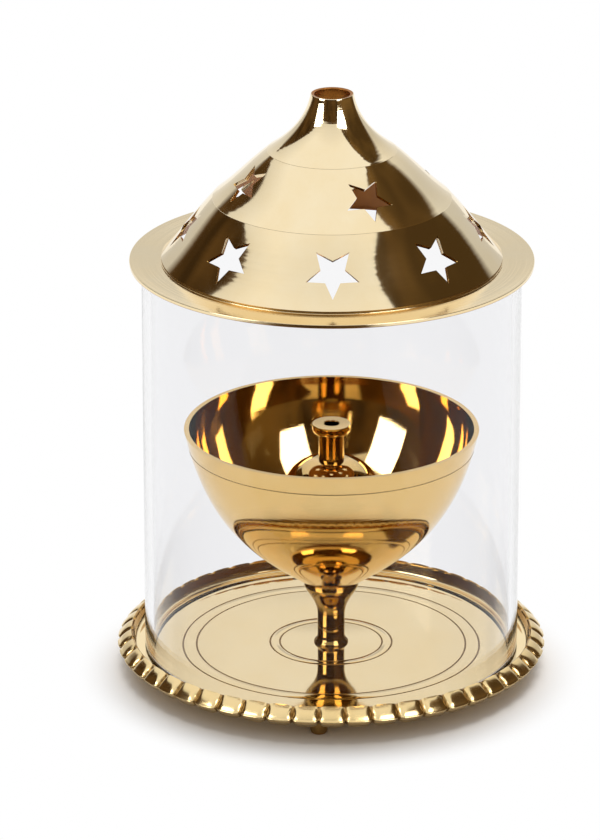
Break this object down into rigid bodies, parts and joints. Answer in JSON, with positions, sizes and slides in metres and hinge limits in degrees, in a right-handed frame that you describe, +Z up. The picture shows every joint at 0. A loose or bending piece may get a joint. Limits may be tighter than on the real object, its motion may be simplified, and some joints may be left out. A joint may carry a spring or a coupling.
{
  "type": "akhand diya",
  "caption": "Brass oil lamp: a bowl with a lift-out wick stand on a turned stem in a gadrooned tray, inside a glass chimney under a star-pierced conical lid.",
  "frame": {"origin": "on the ground under the middle of the tray", "axes": "+Z up along the lamp's axis, -Y towards the front seen in the picture, +X to the right"},
  "size_m": [0.097, 0.097, 0.1345],
  "materials": {
    "polished_brass": "turned and mirror polished",
    "spun_brass": "spun and buffed, with faint turning lines",
    "plated_steel": "bright plated",
    "clear_glass": "clear, fire polished"
  },
  "bodies": {
    "base": {"base_tray": "polished_brass", "foot_front": "polished_brass", "foot_rear_left": "polished_brass", "foot_rear_right": "polished_brass", "base_screw": "plated_steel", "base_washer": "plated_steel", "stem": "polished_brass", "bowl": "polished_brass"},
    "wick_stand": {"wick_dome": "polished_brass", "wick_tube": "polished_brass"},
    "glass": {"glass_chimney": "clear_glass"},
    "lid": {"lid": "spun_brass"}
  },
  "joints": [
    {"name": "glass_lift", "type": "slide", "parent": "base", "child": "glass", "axis": [0, 0, 1], "range_m": [0, 0.06]},
    {"name": "lid_lift", "type": "slide", "parent": "glass", "child": "lid", "axis": [0, 0, 1], "range_m": [0, 0.045]},
    {"name": "wick_lift", "type": "slide", "parent": "base", "child": "wick_stand", "axis": [0, 0, 1], "range_m": [0, 0.036]}
  ]
}
